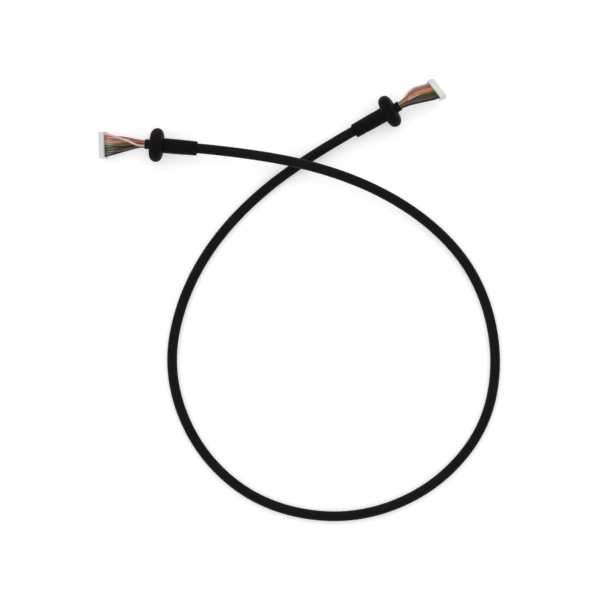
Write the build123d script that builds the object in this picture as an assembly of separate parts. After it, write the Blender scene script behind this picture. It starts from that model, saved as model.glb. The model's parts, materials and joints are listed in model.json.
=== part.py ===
"""Headset cable: a round black lead with a moulded strain relief and a ten-way plug at each end.

Millimetres, +Z up. The cable lies on a flat surface at Z = 0, in one loop that crosses itself once.
The origin is on that surface, under the middle of the whole part.
"""

from build123d import *
import math
import os

# ------------------------------------------------------------------ cable
CABLE_DIAMETER = 5.2
CROSSING_GAP = 5.5  # clear height between the two strands where they cross
BEND_SHARE = 0.45  # share of the shorter neighbouring run that each bend uses up

# ------------------------------------------------------------------ strain relief, moulded on the cable
STUB_LENGTH = 2.7  # jacket that shows past the collar, on the wires' side
COLLAR_DIAMETER = 17.6
COLLAR_THICKNESS = 6.6
NECK_DIAMETER = 7.8
NECK_LENGTH = 7.0
TAPER_LENGTH = 10.9
TIP_DIAMETER = 7.4
TIP_ROUND = 0.35
NECK_FILLET = 0.4
BOND_GAP = 0.02  # between the jacket and the moulding's bore

# ------------------------------------------------------------------ wires
WIRE_DIAMETER = 1.05
GRIP_SQUEEZE = 0.25  # how much thinner the insulation is where the terminal grips it
CONDUCTOR_DIAMETER = 0.4
WIRE_LEAD = 2.4  # straight out of the jacket
WIRE_MOUTH = 0.4  # straight out of the housing
WIRE_KNEE = 2.6  # from the housing to the bend towards it
WIRE_LEAN = 0.25  # how far the outermost wires lean outwards at that bend
CORE_GAP = 0.012  # between two wires in the jacket
RING_CORES = 8  # round a pair that lies one above the other
WIRE_COLOURS = ("white", "brown", "red", "orange", "yellow", "green", "blue", "violet", "grey", "black")

# ------------------------------------------------------------------ crimp terminals
SHEET = 0.12
CRIMP_GAP = 0.01  # between a wire and the wings closed round it
TERMINAL_CLEARANCE = 0.04  # between a terminal and its cavity
CONTACT_LENGTH = 1.5
CRIMP_LENGTH = 0.6
GRIP_LENGTH = 0.6
SEAM_WIDTH = 0.2  # slot between the closed wings
SPINE_WIDTH = 0.36
LANCE_LENGTH = 0.6
LANCE_WIDTH = 0.4

# ------------------------------------------------------------------ plug housing
ENTRY_DEPTH = 0.6  # from the wires' face to the terminals
FRONT_WALL = 0.4  # in front of the terminals, at the mating face
WIRE_CLEARANCE = 0.06  # between a wire and the width of its cavity
CAVITY_WEB = 0.14  # wall between two cavities
CAVITY_HEIGHT = 1.3
CONTACT_OPENING = 0.65
OUTER_WALL = 0.75  # above and below the cavities
END_WALL = 0.72  # beyond the last cavity
WINDOW_LENGTH = 1.0
WINDOW_WIDTH = 0.6
LIP_LENGTH = 0.7  # thicker band at the wires' face, to pull the plug by
LIP_HEIGHT = 0.2
RIB_WIDTH = 0.6
RIB_HEIGHT = 0.3
RIB_INSET = 0.2  # from the housing's end to its guide rib
HOUSING_CHAMFER = 0.15

# ------------------------------------------------------------------ sizes that follow
CIRCUITS = len(WIRE_COLOURS)
CORE_SPACING = WIRE_DIAMETER + CORE_GAP
CORE_PAIR_OFFSET = CORE_SPACING / 2
RING_STEP = 2 * math.pi / RING_CORES
CORE_RING_RADIUS = CORE_PAIR_OFFSET * math.cos(RING_STEP / 2) + math.sqrt(
    CORE_SPACING**2 - (CORE_PAIR_OFFSET * math.sin(RING_STEP / 2)) ** 2
)
CAVITY_WIDTH = WIRE_DIAMETER + WIRE_CLEARANCE
PITCH = CAVITY_WIDTH + CAVITY_WEB
HOUSING_WIDTH = CIRCUITS * PITCH - CAVITY_WEB + 2 * END_WALL
HOUSING_THICKNESS = CAVITY_HEIGHT + 2 * OUTER_WALL
GRIP_START = ENTRY_DEPTH
CRIMP_START = GRIP_START + GRIP_LENGTH
CONTACT_START = CRIMP_START + CRIMP_LENGTH
CONTACT_END = CONTACT_START + CONTACT_LENGTH
HOUSING_LENGTH = CONTACT_END + FRONT_WALL
GRIPPED_DIAMETER = WIRE_DIAMETER - GRIP_SQUEEZE
CONTACT_WIDTH = CAVITY_WIDTH - 2 * TERMINAL_CLEARANCE
CONTACT_HEIGHT = CAVITY_HEIGHT - 2 * TERMINAL_CLEARANCE
WINDOW_MIDDLE = CONTACT_START + CONTACT_LENGTH / 2

# ------------------------------------------------------------------ how the two ends lie
# plan: the middle of the plug's wires' face, seen from above.
# turn: the plug's yaw, pitch and roll in degrees, from level and facing +X.
# first_side: +1 if the first wire is on the left, looking out along the cable, else -1.
# cores: each wire's place in the jacket: a place on the ring, or up or down for the pair.
# sag: how far the wires dip halfway, less than 0 where they arch.
# bow: how far the outermost wires stand out there.
# drift: how far they all swing to the left there.
# keep: the share of its height in the jacket that each wire keeps halfway.
# over: the wire that crosses over the others.
# over_rise: how high it stands there.
# over_share: the share of its way at which it does.
ENDS = {
    "left": {
        "plan": (-100.6, 80.4),
        "turn": (182.2, 44.0, 0.0),
        "first_side": -1,
        "cores": (1, 3, 2, 4, 5, "up", "down", 6, 0, 7),
        "sag": 0.2,
        "bow": 0.0,
        "drift": 0.0,
        "keep": 1.0,
        "over": "white",
        "over_rise": 3.2,
        "over_share": 0.32,
    },
    "right": {
        "plan": (69.8, 108.5),
        "turn": (21.0, 20.0, -40.0),
        "first_side": 1,
        "cores": (7, 6, 0, "down", 1, 5, 4, "up", 2, 3),
        "sag": -0.1,
        "bow": 1.3,
        "drift": 1.5,
        "keep": 0.67,
        "over": None,
        "over_rise": 0.0,
        "over_share": 0.0,
    },
}

# ------------------------------------------------------------------ route of the cable's centre line
FLOOR_HEIGHT = CABLE_DIAMETER / 2
OVER_HEIGHT = FLOOR_HEIGHT + CABLE_DIAMETER + CROSSING_GAP
COLLAR_CENTRE = STUB_LENGTH + COLLAR_THICKNESS / 2  # from the cable's end

LEFT_END = (-79.8, 80.7)
LEFT_NEIGHBOUR = (-27, 76)
RIGHT_NEIGHBOUR = (5.5, 74.5)
RIGHT_END = (52.2, 100.5)


def end_height(end, neighbour, neighbour_height):
    """Height of a cable end whose collar stands on the surface."""
    share = COLLAR_CENTRE / math.dist(end, neighbour)
    return (COLLAR_DIAMETER / 2 - share * neighbour_height) / (1 - share)


ROUTE = [
    (*LEFT_END, end_height(LEFT_END, LEFT_NEIGHBOUR, OVER_HEIGHT)),
    (*LEFT_NEIGHBOUR, OVER_HEIGHT),
    (26, 64.6, OVER_HEIGHT),
    (66.5, 42.2, 2 * FLOOR_HEIGHT),
    (93, 11.5, FLOOR_HEIGHT),
    (104.1, -29, FLOOR_HEIGHT),
    (97.2, -69.2, FLOOR_HEIGHT),
    (67, -100.6, FLOOR_HEIGHT),
    (25, -115.1, FLOOR_HEIGHT),
    (-20.5, -107, FLOOR_HEIGHT),
    (-52.8, -78.6, FLOOR_HEIGHT),
    (-68.5, -38, FLOOR_HEIGHT),
    (-61.5, 4, FLOOR_HEIGHT),
    (-36.6, 41.4, FLOOR_HEIGHT),
    (*RIGHT_NEIGHBOUR, FLOOR_HEIGHT),
    (*RIGHT_END, end_height(RIGHT_END, RIGHT_NEIGHBOUR, FLOOR_HEIGHT)),
]


# ------------------------------------------------------------------ paths and frames
def bend_radii(points):
    """The largest even bends: each takes the same share of its shorter run."""
    radii = []
    for before, here, after in zip(points, points[1:], points[2:]):
        arriving = here - before
        leaving = after - here
        shorter = min(arriving.length, leaving.length)
        turn = math.radians(arriving.get_angle(leaving))
        radii.append(BEND_SHARE * shorter / math.tan(turn / 2))
    return radii


def round_bar(points, diameter):
    """A bar of constant round section along straight runs joined by tangent arcs."""
    path = FilletPolyline(*points, radius=bend_radii(points))
    start = Plane(origin=path @ 0, z_dir=path % 0)
    return sweep(start * Circle(diameter / 2), path=path)


def end_frame(end, neighbour):
    """Frame at a cable end: +X out along the cable's axis, +Y to the left of it, +Z upwards."""
    outward = (end - neighbour).normalized()
    left = Vector(0, 0, 1).cross(outward).normalized()
    return Location(Plane(origin=end, x_dir=outward, z_dir=outward.cross(left)))


def plug_frame(end, housing):
    """Frame at the middle of a plug's wires' face: +X in the mating direction, housing on Z = 0."""
    yaw, pitch, roll = end["turn"]
    turned = Rot(0, 0, yaw) * Rot(0, pitch, 0) * Rot(roll, 0, 0)
    lowest = (turned * housing).bounding_box().min.Z
    return Pos(*end["plan"], -lowest) * turned


def point_in(frame, x, y, z):
    """The point that has these coordinates in a frame."""
    return (frame * Pos(x, y, z)).position


def bar_x(start, length, diameter):
    """A cylinder on the X axis."""
    return Pos(start + length / 2, 0, 0) * Rot(0, 90, 0) * Cylinder(diameter / 2, length)


def block(start, length, width, bottom, top):
    """A box centred on the X axis, seen from above, between two heights."""
    return Pos(start + length / 2, 0, (bottom + top) / 2) * Box(length, width, top - bottom)


# ------------------------------------------------------------------ cable and strain relief
def cable():
    """The round jacketed lead, plain from end to end."""
    return round_bar([Vector(*point) for point in ROUTE], CABLE_DIAMETER)


def strain_relief():
    """Collar with a full round rim, and a sleeve that tapers to a blunt tip, bored for the cable.

    The cable's end is at the origin, and the sleeve points towards -X.
    """
    bore = CABLE_DIAMETER / 2 + BOND_GAP
    front = -STUB_LENGTH
    back = front - COLLAR_THICKNESS
    rim_start = (COLLAR_DIAMETER - COLLAR_THICKNESS) / 2
    neck = NECK_DIAMETER / 2
    tip = back - NECK_LENGTH - TAPER_LENGTH
    outline = Curve() + [
        Line((front, bore), (front, rim_start)),
        ThreePointArc((front, rim_start), (-COLLAR_CENTRE, COLLAR_DIAMETER / 2), (back, rim_start)),
        Line((back, rim_start), (back, neck)),
        Line((back, neck), (back - NECK_LENGTH, neck)),
        Line((back - NECK_LENGTH, neck), (tip, TIP_DIAMETER / 2)),
        Line((tip, TIP_DIAMETER / 2), (tip, bore)),
        Line((tip, bore), (front, bore)),
    ]
    section = make_face(outline)
    section = fillet(section.vertices().sort_by_distance((back, neck))[0], NECK_FILLET)
    section = fillet(section.vertices().sort_by_distance((tip, TIP_DIAMETER / 2))[0], TIP_ROUND)
    return revolve(section, axis=Axis.X)


# ------------------------------------------------------------------ plug
def circuit_positions():
    """Places across the plug, from the first circuit at +Y to the last at -Y."""
    return [((CIRCUITS - 1) / 2 - circuit) * PITCH for circuit in range(CIRCUITS)]


def housing():
    """Moulded plug body: a row of stepped cavities, with latch windows, guide ribs and a pull lip.

    The wires' face is at X = 0, the mating face at +X, and the windows face -Z.
    """
    half = HOUSING_THICKNESS / 2
    body = block(0, HOUSING_LENGTH, HOUSING_WIDTH, -half, half)
    body = chamfer(body.faces().sort_by(Axis.X)[-1].edges(), HOUSING_CHAMFER)
    body += block(0, LIP_LENGTH, HOUSING_WIDTH, -half - LIP_HEIGHT, half + LIP_HEIGHT)
    rib_place = HOUSING_WIDTH / 2 - RIB_INSET - RIB_WIDTH / 2
    rib = block(0, HOUSING_LENGTH - HOUSING_CHAMFER, RIB_WIDTH, -half - RIB_HEIGHT, 0)
    body += [Pos(0, side * rib_place, 0) * rib for side in (-1, 1)]
    opening = CONTACT_OPENING / 2
    cavity = block(0, CONTACT_END, CAVITY_WIDTH, -CAVITY_HEIGHT / 2, CAVITY_HEIGHT / 2)
    cavity += block(0, HOUSING_LENGTH, CONTACT_OPENING, -opening, opening)
    cavity += block(WINDOW_MIDDLE - WINDOW_LENGTH / 2, WINDOW_LENGTH, WINDOW_WIDTH, -half, 0)
    return body - [Pos(0, place, 0) * cavity for place in circuit_positions()]


def closed_wings(start, length, inner_diameter):
    """Crimp wings closed round a wire, with the seam on top."""
    outer_diameter = inner_diameter + 2 * SHEET
    wings = bar_x(start, length, outer_diameter) - bar_x(start, length, inner_diameter)
    return wings - block(start, length, SEAM_WIDTH, 0, outer_diameter)


def terminal():
    """Stamped crimp terminal in its cavity: wire grip, conductor crimp, and contact box with a lance."""
    grip_bore = GRIPPED_DIAMETER + 2 * CRIMP_GAP
    crimp_bore = CONDUCTOR_DIAMETER + 2 * CRIMP_GAP
    half = CONTACT_HEIGHT / 2
    spine_bottom = min(-grip_bore / 2 - SHEET, SHEET - half)  # under the grip, down to the contact
    spine = block(GRIP_START, CONTACT_START + SHEET - GRIP_START, SPINE_WIDTH, spine_bottom, 0)
    spine -= bar_x(GRIP_START, GRIP_LENGTH, grip_bore)
    spine -= bar_x(CRIMP_START, CRIMP_LENGTH + SHEET, crimp_bore)
    contact = block(CONTACT_START, CONTACT_LENGTH, CONTACT_WIDTH, -half, half)
    contact -= block(
        CONTACT_START, CONTACT_LENGTH, CONTACT_WIDTH - 2 * SHEET, -half + SHEET, half - SHEET
    )
    lance = block(WINDOW_MIDDLE - LANCE_LENGTH / 2, LANCE_LENGTH, LANCE_WIDTH, -half - SHEET, SHEET - half)
    wings = closed_wings(GRIP_START, GRIP_LENGTH, grip_bore)
    wings += closed_wings(CRIMP_START, CRIMP_LENGTH, crimp_bore)
    return spine + wings + contact + lance


# ------------------------------------------------------------------ wires
def core_place(core):
    """Where a core lies in the jacket's section: to the left, and upwards."""
    if core == "up":
        return 0, CORE_PAIR_OFFSET
    if core == "down":
        return 0, -CORE_PAIR_OFFSET
    angle = RING_STEP * (core + 0.5)
    return CORE_RING_RADIUS * math.cos(angle), CORE_RING_RADIUS * math.sin(angle)


def wire(end, colour, core, place, jacket_frame, cavity_frame):
    """One insulated wire, from the jacket's end to its terminal, with its stripped conductor."""
    left, up = core_place(core)
    start = point_in(jacket_frame, 0, left, up)
    lead = point_in(jacket_frame, WIRE_LEAD, left, up)
    from_middle = place / ((CIRCUITS - 1) / 2 * PITCH)
    knee = point_in(cavity_frame, -WIRE_KNEE, WIRE_LEAN * from_middle, 0)
    mouth = point_in(cavity_frame, -WIRE_MOUTH, 0, 0)
    stop = point_in(cavity_frame, ENTRY_DEPTH, 0, 0)
    share = 0.5
    rise = up * (end["keep"] - share) - end["sag"]
    if colour == end["over"]:
        share = end["over_share"]
        rise = end["over_rise"]
    to_left = point_in(jacket_frame, 0, 1, 0) - point_in(jacket_frame, 0, 0, 0)
    aside = end["drift"] + end["bow"] * from_middle
    middle = lead + (knee - lead) * share + to_left * aside + Vector(0, 0, rise)
    insulation = round_bar([start, lead, middle, knee, mouth, stop], WIRE_DIAMETER)
    stripped = bar_x(GRIP_START, GRIP_LENGTH, GRIPPED_DIAMETER)
    stripped += bar_x(CRIMP_START, CRIMP_LENGTH, CONDUCTOR_DIAMETER)
    return insulation + cavity_frame * stripped


# ------------------------------------------------------------------ assembly
def build():
    """Every piece in its place, by name."""
    pieces = {"main_cable": cable()}
    relief = strain_relief()
    body = housing()
    contact = terminal()
    route = [Vector(*point) for point in ROUTE]
    frames = {"left": end_frame(route[0], route[1]), "right": end_frame(route[-1], route[-2])}
    for name, end in ENDS.items():
        plug = plug_frame(end, body)
        pieces[f"{name}_strain_relief"] = frames[name] * relief
        pieces[f"{name}_plug_housing"] = plug * body
        places = [end["first_side"] * place for place in circuit_positions()]
        for colour, core, place in zip(WIRE_COLOURS, end["cores"], places):
            cavity = plug * Pos(0, place, 0)
            pieces[f"{name}_wire_{colour}"] = wire(end, colour, core, place, frames[name], cavity)
            pieces[f"{name}_terminal_{colour}"] = cavity * contact
    return pieces


def report_cable(solid):
    """Print the bends' radii, and compare the cable's volume with its section times its length."""
    points = [Vector(*point) for point in ROUTE]
    radii = bend_radii(points)
    length = FilletPolyline(*points, radius=radii).length
    print("bend radii, mm:", [round(radius, 1) for radius in radii])
    print("cable length, mm:", round(length, 1))
    print("volume over section times length:", round(solid.volume / (math.pi * FLOOR_HEIGHT**2 * length), 5))


os.makedirs("parts", exist_ok=True)
pieces = build()
report_cable(pieces["main_cable"])
for name, piece in pieces.items():
    export_step(piece, f"parts/{name}.step")
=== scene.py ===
"""Looks of the headset cable.

A soft black jacketed cable crosses over itself once, with a moulded strain relief near each end.
Out of each end of the jacket come ten coloured wires, which fan out to a pale plug.
"""

import json
import math

import bmesh
import bpy
from mathutils import Euler, Matrix, Vector


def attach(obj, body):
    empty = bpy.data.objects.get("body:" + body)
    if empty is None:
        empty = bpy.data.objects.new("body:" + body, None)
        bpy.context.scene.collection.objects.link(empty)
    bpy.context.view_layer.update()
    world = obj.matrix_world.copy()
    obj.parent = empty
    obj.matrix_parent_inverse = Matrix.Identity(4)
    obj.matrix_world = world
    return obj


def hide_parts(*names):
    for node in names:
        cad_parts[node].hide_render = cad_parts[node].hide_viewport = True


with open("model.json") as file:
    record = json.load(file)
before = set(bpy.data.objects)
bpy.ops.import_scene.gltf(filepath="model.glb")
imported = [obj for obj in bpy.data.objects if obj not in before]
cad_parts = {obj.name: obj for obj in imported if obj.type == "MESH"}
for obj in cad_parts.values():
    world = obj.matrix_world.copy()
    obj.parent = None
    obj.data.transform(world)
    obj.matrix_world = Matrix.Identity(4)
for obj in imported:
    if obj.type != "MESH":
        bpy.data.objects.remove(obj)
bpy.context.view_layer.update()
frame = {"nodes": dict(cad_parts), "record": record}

MM = 0.001  # lengths are in metres, and angles in degrees unless a comment says otherwise

# ------------------------------------------------------------------ sizes, as in the part's solids
CABLE_DIAMETER = 5.2 * MM
CROSSING_GAP = 5.5 * MM
STUB_LENGTH = 2.7 * MM
COLLAR_DIAMETER = 17.6 * MM
COLLAR_THICKNESS = 6.6 * MM
NECK_DIAMETER = 7.8 * MM
NECK_LENGTH = 7.0 * MM
TAPER_LENGTH = 10.9 * MM
TIP_DIAMETER = 7.4 * MM
TIP_ROUND = 0.35 * MM
NECK_FILLET = 0.4 * MM
BOND_GAP = 0.02 * MM  # between the jacket and the strain relief's bore
NECK_MOUNT = 13.0 * MM  # from the cable's end to the middle of the neck

WIRE_DIAMETER = 1.05 * MM
GRIPPED_DIAMETER = 0.8 * MM
CONDUCTOR_DIAMETER = 0.4 * MM
WIRE_LEAD = 2.4 * MM  # how far the wires run on out of the jacket before they turn
WIRE_MOUTH = 0.4 * MM  # how far before the plug they are in line with it
CORE_SPACING = WIRE_DIAMETER + 0.012 * MM
CORE_PAIR_OFFSET = CORE_SPACING / 2
RING_CORES = 8
RING_STEP = 2 * math.pi / RING_CORES  # radians
CORE_RING_RADIUS = CORE_PAIR_OFFSET * math.cos(RING_STEP / 2) + math.sqrt(
    CORE_SPACING**2 - (CORE_PAIR_OFFSET * math.sin(RING_STEP / 2)) ** 2
)
PITCH = 1.25 * MM
ENTRY_DEPTH = 0.6 * MM
GRIP_LENGTH = 0.6 * MM
CRIMP_LENGTH = 0.6 * MM
HOUSING_LENGTH = 3.7 * MM

# ------------------------------------------------------------------ wires
# Display colours, one for each circuit in its order across the plug.
WIRES = {
    "white": (218, 192, 180),
    "brown": (170, 122, 110),
    "red": (184, 100, 88),
    "orange": (206, 150, 120),
    "yellow": (176, 144, 88),
    "green": (106, 99, 44),
    "blue": (68, 66, 50),
    "violet": (76, 67, 64),
    "grey": (88, 82, 80),
    "black": (50, 47, 45),
}
CIRCUITS = len(WIRES)

# How the plug and the wires lie at each end.
#   turn: yaw, pitch and roll of the plug.
#   first_side: 1 where the first circuit is on the plug's left, -1 where it is on its right.
#   cores: each circuit's place in the jacket, a number round the ring or one of the middle pair.
#   keep: the share of its height in the jacket that a wire keeps halfway to the plug.
#   sag, drift, bow: how far the wires hang, stand to the left and spread apart halfway.
#   over, over_rise, over_share: the wire that crosses over the others, how far it rises, and at
#   what share of the way.
#   knee, lean: how far before the plug the wires turn into line, and how far they spread there.
#   lead_nudges, nudges: how far some wires stand to the left and upwards, where they leave the
#   jacket and halfway.
ENDS = {
    "left": {
        "turn": (182.2, 44.0, 0.0),
        "first_side": -1,
        "cores": (1, 3, 2, 4, 5, "up", "down", 6, 0, 7),
        "keep": 1.0,
        "sag": 0.2 * MM,
        "drift": 0.0,
        "bow": 0.0,
        "over": "white",
        "over_rise": 3.2 * MM,
        "over_share": 0.32,
        "knee": 1.8 * MM,
        "lean": 0.0,
        "lead_nudges": {"white": (1.0 * MM, 0.35 * MM)},
        "nudges": {
            "white": (-0.5 * MM, 0.8 * MM),
            "brown": (-0.7 * MM, -0.9 * MM),
            "red": (-0.4 * MM, 0.0),
        },
    },
    "right": {
        "turn": (21.0, 20.0, -40.0),
        "first_side": 1,
        "cores": (7, 6, 0, "down", 1, 5, 4, "up", 2, 3),
        "keep": 0.67,
        "sag": -0.1 * MM,
        "drift": 1.5 * MM,
        "bow": 1.3 * MM,
        "over": None,
        "over_rise": 0.0,
        "over_share": 0.0,
        "knee": 2.6 * MM,
        "lean": 0.25 * MM,
        "lead_nudges": {},
        "nudges": {
            "white": (-0.1 * MM, 0.15 * MM),
            "red": (-0.5 * MM, -0.4 * MM),
            "orange": (0.05 * MM, 0.3 * MM),
            "yellow": (-0.15 * MM, 0.0),
            "green": (-0.1 * MM, 0.2 * MM),
        },
    },
}

# ------------------------------------------------------------------ finer shapes
MOUTH_DEPTH = 4.0 * MM  # stretch of jacket at each end that is made open
MOUTH_RECESS = 0.9 * MM  # from the jacket's end in to the filler
MOUTH_BORE = 4.2 * MM
MOUTH_EDGE = 0.12 * MM
DISH_DEPTH = 0.25 * MM  # of the shallow dish round the jacket in a strain relief's front
DISH_FLOOR = 0.25 * MM  # from the bore to the edge of the dish's floor
DISH_RIM = 0.6 * MM  # from the bore to the dish's rim
TIP_BEVEL_WIDTH = 0.1 * MM  # of the bevel inside the blunt end of a strain relief's sleeve
TIP_BEVEL_DEPTH = 0.15 * MM
SEAM_HEIGHT = 0.035 * MM  # of the parting lines
SEAM_HALF_ANGLE = 0.9
SEAM_CLEARANCE = 1.5 * SEAM_HALF_ANGLE  # the mesh has no other line as near to the seam's ridge
SEAM_INSIDE = 0.52 * CABLE_DIAMETER  # radius within which the moulding has no seam
EDGE_SOFTNESS = 0.05 * MM  # width of a plug's rounded edges
EDGE_ANGLE = 0.3  # radians, the least between the faces of an edge that is rounded
FLAT_ANGLE = 0.5  # the most between faces that are joined into one
MERGE_DISTANCE = 0.001 * MM  # the most between corners that are joined into one

LATHE_SEGMENTS = 96
JACKET_STEPS = 24  # along the curve, between two of its points
JACKET_BEVEL_STEPS = 14  # for 32 sides
WIRE_STEPS = 14
WIRE_SIDES = 20
FILLER_SIDES = 48
CONDUCTOR_SIDES = 12


# ------------------------------------------------------------------ frames of the ends and plugs
def mount(name):
    """Place and axis of one of the part's mounts."""
    found = next(m for m in frame["record"]["mounts"] if m["name"] == name)
    return Vector(found["pos_m"]), Vector(found["axis"]).normalized()


def axes_frame(origin, outward, left):
    """Matrix of a frame from its origin and two of its axes."""
    up = outward.cross(left)
    turned = Matrix((outward, left, up)).transposed()
    return Matrix.Translation(origin) @ turned.to_4x4()


def end_frame(side):
    """Frame at a cable end: +X out along the cable, +Y to the left, +Z up."""
    neck, towards_cable = mount(f"{side}_neck")
    outward = -towards_cable
    left = Vector((0, 0, 1)).cross(outward).normalized()
    return axes_frame(neck + outward * NECK_MOUNT, outward, left)


def plug_frame(side):
    """Frame at the middle of the face where the wires enter a plug: +X in the mating direction."""
    face, mating = mount(f"{side}_plug")
    yaw, pitch, roll = (math.radians(angle) for angle in ENDS[side]["turn"])
    turned = Euler((roll, pitch, yaw)).to_matrix().to_4x4()
    return Matrix.Translation(face - mating * HOUSING_LENGTH) @ turned


END_FRAMES = {side: end_frame(side) for side in ENDS}
PLUG_FRAMES = {side: plug_frame(side) for side in ENDS}

# ------------------------------------------------------------------ camera
CAMERA_LENS = 300.0  # millimetres, as is the sensor's width
SENSOR = 36.0
CAMERA_REACH = 20.0
VIEW_WIDTH = 312.0 * MM
VIEW_CENTRE = Vector((0.52, -0.16, 0)) * MM


def make_camera():
    """Straight above the part, with a long lens."""
    data = bpy.data.cameras.new("camera")
    data.lens = CAMERA_LENS
    data.sensor_width = SENSOR
    data.clip_end = CAMERA_REACH
    camera = bpy.data.objects.new("camera", data)
    distance = VIEW_WIDTH * CAMERA_LENS / SENSOR
    camera.location = VIEW_CENTRE + Vector((0, 0, distance))
    bpy.context.collection.objects.link(camera)
    bpy.context.scene.camera = camera


make_camera()

# ------------------------------------------------------------------ the cable's route
FLOOR_HEIGHT = CABLE_DIAMETER / 2
OVER_HEIGHT = FLOOR_HEIGHT + CABLE_DIAMETER + CROSSING_GAP
MIDDLE_ROUTE = [
    (-27 * MM, 76.8 * MM, OVER_HEIGHT),
    (26 * MM, 64.6 * MM, OVER_HEIGHT),
    (66.7 * MM, 42.4 * MM, 2 * FLOOR_HEIGHT),
    (93.5 * MM, 11.9 * MM, FLOOR_HEIGHT),
    (104.1 * MM, -29 * MM, FLOOR_HEIGHT),
    (96.5 * MM, -68.9 * MM, FLOOR_HEIGHT),
    (67 * MM, -100.6 * MM, FLOOR_HEIGHT),
    (25 * MM, -115.1 * MM, FLOOR_HEIGHT),
    (-20.5 * MM, -107 * MM, FLOOR_HEIGHT),
    (-53.2 * MM, -78.8 * MM, FLOOR_HEIGHT),
    (-68.5 * MM, -38 * MM, FLOOR_HEIGHT),
    (-60.6 * MM, 3.6 * MM, FLOOR_HEIGHT),
    (-36.6 * MM, 41.4 * MM, FLOOR_HEIGHT),
    (4.7 * MM, 75.4 * MM, FLOOR_HEIGHT),
]


def nurbs_curve(name, points, steps, diameter=0.0):
    """A curve object of one open quadratic NURBS spline, round if it has a diameter."""
    data = bpy.data.curves.new(name, "CURVE")
    data.dimensions = "3D"
    data.resolution_u = steps
    data.bevel_depth = 1.0 if diameter else 0.0  # metres, times each point's radius
    data.bevel_resolution = JACKET_BEVEL_STEPS
    data.use_fill_caps = True
    spline = data.splines.new("NURBS")
    spline.points.add(len(points) - 1)
    for point, place in zip(spline.points, points):
        point.co = (*place, 1)
        point.radius = diameter / 2
    spline.order_u = 3
    spline.use_endpoint_u = True
    spline.use_smooth = True
    curve = bpy.data.objects.new(name, data)
    bpy.context.collection.objects.link(curve)
    return curve


def make_jacket():
    """The jacketed lead, a free cord from one strain relief to the other."""
    first = END_FRAMES["left"] @ Vector((-MOUTH_DEPTH, 0, 0))
    last = END_FRAMES["right"] @ Vector((-MOUTH_DEPTH, 0, 0))
    jacket = nurbs_curve("cable_jacket", [first, *MIDDLE_ROUTE, last], JACKET_STEPS, CABLE_DIAMETER)
    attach(jacket, "root")
    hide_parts("main_cable")
    return jacket


jacket = make_jacket()

# ------------------------------------------------------------------ materials
GRAIN_LAYERS = 2.0  # layers of ever finer noise in a fine grain
CLOUD_LAYERS = 3.0  # and in broad patches


def display(red, green, blue):
    """Linear colour of a display colour from 0 to 255."""

    def linear(value):
        value /= 255
        return value / 12.92 if value <= 0.04045 else ((value + 0.055) / 1.055) ** 2.4

    return (linear(red), linear(green), linear(blue), 1.0)


def dimmed(colour, share):
    """A share of a linear colour's brightness."""
    return (*(share * part for part in colour[:3]), 1.0)


def new_material(name):
    """A plain material, its node tree and its surface shader."""
    material = bpy.data.materials.new(name)
    material.use_nodes = True
    tree = material.node_tree
    return material, tree, tree.nodes["Principled BSDF"]


def noise(tree, scale, layers=CLOUD_LAYERS):
    """Noise in object space, with a scale in features a metre."""
    place = tree.nodes.new("ShaderNodeTexCoord")
    texture = tree.nodes.new("ShaderNodeTexNoise")
    texture.inputs["Scale"].default_value = scale
    texture.inputs["Detail"].default_value = layers
    tree.links.new(place.outputs["Object"], texture.inputs["Vector"])
    return texture.outputs["Fac"]


def spread(tree, value, low, high):
    """Stretch the usual part of a noise, 0.3 to 0.7, over a range."""
    ranged = tree.nodes.new("ShaderNodeMapRange")
    ranged.inputs["From Min"].default_value = 0.3
    ranged.inputs["From Max"].default_value = 0.7
    ranged.inputs["To Min"].default_value = low
    ranged.inputs["To Max"].default_value = high
    tree.links.new(value, ranged.inputs["Value"])
    return ranged.outputs["Result"]


def two_tone(tree, value, first, second):
    """Mix two colours by a noise value."""
    mix = tree.nodes.new("ShaderNodeMix")
    mix.data_type = "RGBA"
    mix.inputs["A"].default_value = first
    mix.inputs["B"].default_value = second
    tree.links.new(spread(tree, value, 0, 1), mix.inputs["Factor"])
    return mix.outputs["Result"]


def bumps(tree, grains):
    """Surface direction over bumps of (scale, layers, depth), one on top of the other."""
    normal = None
    for scale, layers, depth in grains:
        bump = tree.nodes.new("ShaderNodeBump")
        bump.inputs["Distance"].default_value = depth
        tree.links.new(noise(tree, scale, layers), bump.inputs["Height"])
        if normal:
            tree.links.new(normal, bump.inputs["Normal"])
        normal = bump.outputs["Normal"]
    return normal


def skin(name, tones, cloud, roughness, gloss, grains):
    """A material of two close tones with uneven gloss and bumps, and its surface shader.

    cloud is the scale of the patches of tone, and gloss that of the patches of roughness.
    """
    material, tree, shader = new_material(name)
    tree.links.new(two_tone(tree, noise(tree, cloud), *tones), shader.inputs["Base Color"])
    tree.links.new(spread(tree, noise(tree, gloss), *roughness), shader.inputs["Roughness"])
    tree.links.new(bumps(tree, grains), shader.inputs["Normal"])
    return material, shader


def moulded(name, tones, roughness, specular, grain, depth):
    """Plastic or rubber with a fine moulded grain over faint waves."""
    waves = 300
    grains = [(grain, GRAIN_LAYERS, depth), (waves, CLOUD_LAYERS, depth * 2)]
    material, shader = skin(name, tones, cloud=160, roughness=roughness, gloss=900, grains=grains)
    shader.inputs["Specular IOR Level"].default_value = specular
    return material


def plated(name, colour, roughness):
    """Plated metal, finely marked and unevenly dull."""
    tones = (colour, dimmed(colour, share=0.82))
    grains = [(5000, GRAIN_LAYERS, 0.004 * MM)]
    material, shader = skin(name, tones, cloud=700, roughness=roughness, gloss=2600, grains=grains)
    shader.inputs["Metallic"].default_value = 1.0
    return material


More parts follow.
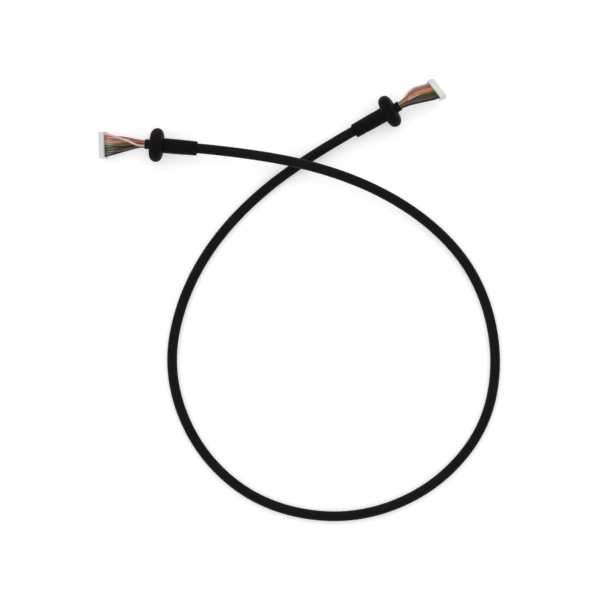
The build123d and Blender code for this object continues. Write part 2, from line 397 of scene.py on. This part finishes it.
def insulation(name, colour):
    """Extruded insulation, slightly glossy, with a shade that wanders along the wire."""
    base = display(*colour)
    tones = (base, dimmed(base, share=0.8))
    grains = [(7000, GRAIN_LAYERS, 0.004 * MM)]
    material, shader = skin(
        f"insulation_{name}", tones, cloud=500, roughness=(0.34, 0.5), gloss=2400, grains=grains
    )
    shader.inputs["Specular IOR Level"].default_value = 0.12
    shader.inputs["Subsurface Weight"].default_value = 0.08
    shader.inputs["Subsurface Radius"].default_value = (0.3 * MM, 0.2 * MM, 0.15 * MM)
    shader.inputs["Subsurface Scale"].default_value = 1.0
    return material


JACKET = moulded(
    "jacket_pvc",
    tones=(display(13, 15, 15), display(18, 20, 20)),
    roughness=(0.42, 0.56),
    specular=0.05,
    grain=4200,
    depth=0.012 * MM,
)
MOULDING = moulded(
    "relief_pvc",
    tones=(display(12, 9, 11), display(17, 14, 16)),
    roughness=(0.5, 0.66),
    specular=0.05,
    grain=5200,
    depth=0.03 * MM,
)
NYLON = moulded(
    "housing_nylon",
    tones=(display(205, 208, 206), display(214, 216, 213)),
    roughness=(0.38, 0.5),
    specular=0.3,
    grain=3600,
    depth=0.006 * MM,
)
FILLER = moulded(
    "core_filler",
    tones=(display(40, 36, 34), display(66, 58, 52)),
    roughness=(0.8, 0.95),
    specular=0.1,
    grain=6000,
    depth=0.05 * MM,
)
TIN = plated("tin_plate", display(206, 202, 190), roughness=(0.24, 0.4))
COPPER = plated("tinned_strand", display(204, 172, 140), roughness=(0.3, 0.45))
INSULATION = {name: insulation(name, colour) for name, colour in WIRES.items()}


# ------------------------------------------------------------------ mesh helpers
def finish_piece(name, mesh, materials, replaced=()):
    """Link a mesh as a piece that rides with the part."""
    piece = bpy.data.objects.new(name, mesh)
    bpy.context.collection.objects.link(piece)
    for material in materials:
        mesh.materials.append(material)
    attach(piece, "root")
    if replaced:
        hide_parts(*replaced)


def mesh_from(bm, name, crease=35):
    """Turn what was built into a smooth mesh with outward faces, crisp at edges past the crease."""
    bmesh.ops.recalc_face_normals(bm, faces=bm.faces)
    mesh = bpy.data.meshes.new(name)
    bm.to_mesh(mesh)
    bm.free()
    mesh.shade_smooth()
    mesh.set_sharp_from_angle(angle=math.radians(crease))
    return mesh


def arc(centre, radius, start, stop, steps):
    """Points of an arc in the profile's plane, with angles from the axis's direction."""
    points = []
    for step in range(steps + 1):
        angle = math.radians(start + (stop - start) * step / steps)
        points.append((centre[0] + radius * math.cos(angle), centre[1] + radius * math.sin(angle)))
    return points


def lathe_angles(seam):
    """Angles in radians round the axis, and how far the surface is raised at each.

    With a seam, there is a narrow raised parting line at each side.
    """
    angles = [(2 * math.pi * step / LATHE_SEGMENTS, 0.0) for step in range(LATHE_SEGMENTS)]
    if not seam:
        return angles
    half = math.radians(SEAM_HALF_ANGLE)
    clearance = math.radians(SEAM_CLEARANCE)
    for side in (0, math.pi):
        angles = [a for a in angles if abs(math.remainder(a[0] - side, 2 * math.pi)) > clearance]
        angles += [(side - half, 0.0), (side, SEAM_HEIGHT), (side + half, 0.0)]
    return sorted(angles)


def lathe(bm, profile, place, seam=False):
    """Turn a closed profile of (along, radius) points round the X axis of a frame."""
    rings = []
    for angle, raised in lathe_angles(seam):
        turned = []
        for along, radius in profile:
            lifted = radius + raised if radius > SEAM_INSIDE else radius
            spot = Vector((along, lifted * math.cos(angle), lifted * math.sin(angle)))
            turned.append(bm.verts.new(place @ spot))
        rings.append(turned)
    count = len(profile)
    for ring, following in zip(rings, rings[1:] + rings[:1]):
        for step in range(count):
            after = (step + 1) % count
            bm.faces.new((ring[step], ring[after], following[after], following[step]))


def capped_tube(bm, rings, material):
    """Join rings of as many points each into a tube that is closed at both ends."""
    rings = [[bm.verts.new(spot) for spot in ring] for ring in rings]
    faces = [bm.faces.new(rings[0][::-1]), bm.faces.new(rings[-1])]
    for ring, following in zip(rings, rings[1:]):
        for side in range(len(ring)):
            after = (side + 1) % len(ring)
            corners = (ring[side], ring[after], following[after], following[side])
            faces.append(bm.faces.new(corners))
    for face in faces:
        face.material_index = material


def circle(sides, radius):
    """Points of a circle round the origin, as pairs."""
    angles = [2 * math.pi * side / sides for side in range(sides)]
    return [(radius * math.cos(angle), radius * math.sin(angle)) for angle in angles]


def bar(bm, place, start, length, radius, sides, material):
    """A round bar along the X axis of a frame."""
    rings = []
    for along in (start, start + length):
        rings.append([place @ Vector((along, *spot)) for spot in circle(sides, radius)])
    capped_tube(bm, rings, material)


def sweep(bm, line, radius, sides, material):
    """A round tube along a line, without twist."""
    ahead = (line[1] - line[0]).normalized()
    across = ahead.orthogonal().normalized()
    rings = []
    for index, spot in enumerate(line):
        before = line[max(index - 1, 0)]
        after = line[min(index + 1, len(line) - 1)]
        turned = (after - before).normalized()
        across.rotate(ahead.rotation_difference(turned))
        ahead = turned
        other = ahead.cross(across)
        rings.append([spot + across * a + other * b for a, b in circle(sides, radius)])
    capped_tube(bm, rings, material)


def smooth_line(points):
    """Points along the smooth NURBS line of some control points."""
    guide = nurbs_curve("guide", points, WIRE_STEPS)
    mesh = bpy.data.meshes.new_from_object(guide)
    line = [vertex.co.copy() for vertex in mesh.vertices]
    bpy.data.meshes.remove(mesh)
    bpy.data.objects.remove(guide)
    return line


# ------------------------------------------------------------------ cable ends
def relief_profile():
    """Section of a strain relief: dished front, round rim, filleted neck, tapered sleeve."""
    bore = CABLE_DIAMETER / 2 + BOND_GAP
    front = -STUB_LENGTH
    back = front - COLLAR_THICKNESS
    middle = (front + back) / 2
    rim = COLLAR_THICKNESS / 2
    rim_start = COLLAR_DIAMETER / 2 - rim
    neck = NECK_DIAMETER / 2
    tip = back - NECK_LENGTH - TAPER_LENGTH
    tip_radius = TIP_DIAMETER / 2
    dish = front - DISH_DEPTH
    points = [(dish, bore), (dish, bore + DISH_FLOOR), (front, bore + DISH_RIM)]
    points += arc((middle, rim_start), rim, 0, 180, steps=28)
    points += arc((back - NECK_FILLET, neck + NECK_FILLET), NECK_FILLET, 0, -90, steps=6)
    points += [(back - NECK_LENGTH, neck)]
    points += arc((tip + TIP_ROUND, tip_radius - TIP_ROUND), TIP_ROUND, 90, 180, steps=5)
    points += [(tip, bore + TIP_BEVEL_WIDTH), (tip + TIP_BEVEL_DEPTH, bore)]
    return points


def make_relief(side):
    """One moulded strain relief, with its parting lines."""
    bm = bmesh.new()
    lathe(bm, relief_profile(), END_FRAMES[side], seam=True)
    mesh = mesh_from(bm, f"{side}_relief_mesh")
    finish_piece(f"{side}_relief", mesh, [MOULDING], [f"{side}_strain_relief"])


def make_mouth(side):
    """The open end of the jacket, with the filler that the wires come out of."""
    outer = CABLE_DIAMETER / 2
    bore = MOUTH_BORE / 2
    inner_edge = MOUTH_EDGE / 2
    profile = [(-MOUTH_DEPTH, bore), (-MOUTH_DEPTH, outer)]
    profile += arc((-MOUTH_EDGE, outer - MOUTH_EDGE), MOUTH_EDGE, 90, 0, steps=4)
    profile += arc((-inner_edge, bore + inner_edge), inner_edge, 0, -90, steps=3)
    bm = bmesh.new()
    lathe(bm, profile, END_FRAMES[side])
    filled = MOUTH_DEPTH - MOUTH_RECESS
    bar(bm, END_FRAMES[side], -MOUTH_DEPTH, filled, bore, FILLER_SIDES, material=1)
    mesh = mesh_from(bm, f"{side}_mouth_mesh")
    finish_piece(f"{side}_jacket_mouth", mesh, [JACKET, FILLER])


# ------------------------------------------------------------------ plugs
def softened(node, width):
    """A copy of a solid's mesh with its planar faces joined and its edges rounded."""
    bm = bmesh.new()
    bm.from_mesh(node.data)
    flat = math.radians(FLAT_ANGLE)
    bmesh.ops.remove_doubles(bm, verts=bm.verts, dist=MERGE_DISTANCE)
    bmesh.ops.dissolve_limit(bm, angle_limit=flat, verts=bm.verts, edges=bm.edges)
    shared = [edge for edge in bm.edges if len(edge.link_faces) == 2]
    sharp = [edge for edge in shared if edge.calc_face_angle() > EDGE_ANGLE]
    bmesh.ops.bevel(
        bm, geom=sharp, offset=width, segments=2, profile=0.6, affect="EDGES", clamp_overlap=True
    )
    bmesh.ops.triangulate(bm, faces=[face for face in bm.faces if len(face.verts) > 4])
    return bm


def make_housing(side):
    """One plug housing with softened moulded edges."""
    node = frame["nodes"][f"{side}_plug_housing"]
    mesh = mesh_from(softened(node, EDGE_SOFTNESS), f"{side}_housing_mesh", crease=30)
    finish_piece(f"{side}_housing", mesh, [NYLON], [node.name])


def dress_terminals():
    """Tin plate on every terminal."""
    for name, node in frame["nodes"].items():
        if "_terminal_" in name:
            node.data.materials.clear()
            node.data.materials.append(TIN)


# ------------------------------------------------------------------ wires
def core_place(core):
    """Where a core lies in the jacket's section: to the left, and upwards."""
    if core == "up":
        return 0.0, CORE_PAIR_OFFSET
    if core == "down":
        return 0.0, -CORE_PAIR_OFFSET
    angle = RING_STEP * (core + 0.5)
    return CORE_RING_RADIUS * math.cos(angle), CORE_RING_RADIUS * math.sin(angle)


def wire_route(side, colour, core, place):
    """Control points of a wire's line, from inside the jacket to its terminal."""
    end = ENDS[side]
    jacket_end = END_FRAMES[side]
    plug = PLUG_FRAMES[side]
    left, up = core_place(core)
    start = jacket_end @ Vector((-MOUTH_RECESS, left, up))
    lead_left, lead_up = end["lead_nudges"].get(colour, (0.0, 0.0))
    lead = jacket_end @ Vector((WIRE_LEAD, left + lead_left, up + lead_up))
    from_middle = place / ((CIRCUITS - 1) / 2 * PITCH)
    knee = plug @ Vector((-end["knee"], place + end["lean"] * from_middle, 0))
    mouth = plug @ Vector((-WIRE_MOUTH, place, 0))
    stop = plug @ Vector((ENTRY_DEPTH, place, 0))
    share = 0.5
    rise = up * (end["keep"] - share) - end["sag"]
    if colour == end["over"]:
        share = end["over_share"]
        rise = end["over_rise"]
    nudge_left, nudge_up = end["nudges"].get(colour, (0.0, 0.0))
    to_left = jacket_end.to_3x3() @ Vector((0, 1, 0))
    aside = end["drift"] + end["bow"] * from_middle + nudge_left
    middle = lead + (knee - lead) * share + to_left * aside + Vector((0, 0, rise + nudge_up))
    return [start, lead, middle, knee, mouth, stop]


def make_wires(side):
    """The ten wires of one end, each with its stripped conductor in its terminal."""
    end = ENDS[side]
    crimp = ENTRY_DEPTH + GRIP_LENGTH
    gripped = GRIPPED_DIAMETER / 2
    conductor = CONDUCTOR_DIAMETER / 2
    for circuit, (colour, core) in enumerate(zip(WIRES, end["cores"])):
        place = end["first_side"] * ((CIRCUITS - 1) / 2 - circuit) * PITCH
        line = smooth_line(wire_route(side, colour, core, place))
        cavity = PLUG_FRAMES[side] @ Matrix.Translation((0, place, 0))
        bm = bmesh.new()
        sweep(bm, line, WIRE_DIAMETER / 2, WIRE_SIDES, material=0)
        bar(bm, cavity, ENTRY_DEPTH, GRIP_LENGTH, gripped, WIRE_SIDES, material=0)
        bar(bm, cavity, crimp, CRIMP_LENGTH, conductor, CONDUCTOR_SIDES, material=1)
        mesh = mesh_from(bm, f"{side}_{colour}_mesh", crease=50)
        materials = [INSULATION[colour], COPPER]
        replaced = [f"{side}_wire_{colour}"]
        finish_piece(f"{side}_{colour}_wire", mesh, materials, replaced)


jacket.data.materials.append(JACKET)
dress_terminals()
for side in ENDS:
    make_relief(side)
    make_mouth(side)
    make_housing(side)
    make_wires(side)

# ------------------------------------------------------------------ stage
FLOOR_HALF = 4.0
FLOOR_SINK = 0.02 * MM
FLOOR_WHITE = 0.9
FLOOR_ROUGHNESS = 0.9
FLOOR_LIFT = 0.28  # glow that keeps the lit floor white, as the camera and gloss see it
AMBIENT = 0.9
SUN_SHARE = 0.12  # of the level at which a white floor renders white
SUN_ELEVATION = 52.0
SUN_HEADING = 8.0
SUN_SOFTNESS = 60.0


def camera_or_mirror(tree):
    """1 for rays from the camera and for rays that show the background in gloss or glass."""
    rays = tree.nodes.new("ShaderNodeLightPath")
    total = rays.outputs["Is Camera Ray"]
    for name in ("Is Glossy Ray", "Is Transmission Ray"):
        add = tree.nodes.new("ShaderNodeMath")
        add.operation = "MAXIMUM"
        tree.links.new(total, add.inputs[0])
        tree.links.new(rays.outputs[name], add.inputs[1])
        total = add.outputs[0]
    return total


def make_floor():
    """A plain white floor that keeps the part's soft shadow."""
    mesh = bpy.data.meshes.new("floor")
    corners = [(-FLOOR_HALF, -FLOOR_HALF, 0), (FLOOR_HALF, -FLOOR_HALF, 0)]
    corners += [(FLOOR_HALF, FLOOR_HALF, 0), (-FLOOR_HALF, FLOOR_HALF, 0)]
    mesh.from_pydata(corners, [], [(0, 1, 2, 3)])
    floor = bpy.data.objects.new("floor", mesh)
    bpy.context.collection.objects.link(floor)
    floor.location.z = -FLOOR_SINK
    material, tree, shader = new_material("floor_white")
    shader.inputs["Base Color"].default_value = (FLOOR_WHITE, FLOOR_WHITE, FLOOR_WHITE, 1)
    shader.inputs["Roughness"].default_value = FLOOR_ROUGHNESS
    shader.inputs["Specular IOR Level"].default_value = 0.0
    shader.inputs["Emission Color"].default_value = (1, 1, 1, 1)
    lift = tree.nodes.new("ShaderNodeMath")
    lift.operation = "MULTIPLY"
    lift.inputs[1].default_value = FLOOR_LIFT
    tree.links.new(camera_or_mirror(tree), lift.inputs[0])
    tree.links.new(lift.outputs[0], shader.inputs["Emission Strength"])
    mesh.materials.append(material)


def make_sky():
    """An even pale sky, white as the camera and gloss see it."""
    world = bpy.data.worlds.new("studio")
    bpy.context.scene.world = world
    world.use_nodes = True
    tree = world.node_tree
    background = tree.nodes["Background"]
    background.inputs["Color"].default_value = (1, 1, 1, 1)
    level = tree.nodes.new("ShaderNodeMapRange")
    level.inputs["To Min"].default_value = AMBIENT
    level.inputs["To Max"].default_value = 1.0
    tree.links.new(camera_or_mirror(tree), level.inputs["Value"])
    tree.links.new(level.outputs["Result"], background.inputs["Strength"])


def make_lamp():
    """One broad soft lamp from the far side."""
    data = bpy.data.lights.new("key", "SUN")
    data.energy = SUN_SHARE * math.pi / math.sin(math.radians(SUN_ELEVATION))
    data.angle = math.radians(SUN_SOFTNESS)
    key = bpy.data.objects.new("key", data)
    key.rotation_euler = (math.radians(SUN_ELEVATION - 90), 0, math.radians(SUN_HEADING))
    bpy.context.collection.objects.link(key)


make_floor()
make_sky()
make_lamp()
bpy.context.scene.view_settings.view_transform = "Standard"

bpy.context.view_layer.update()
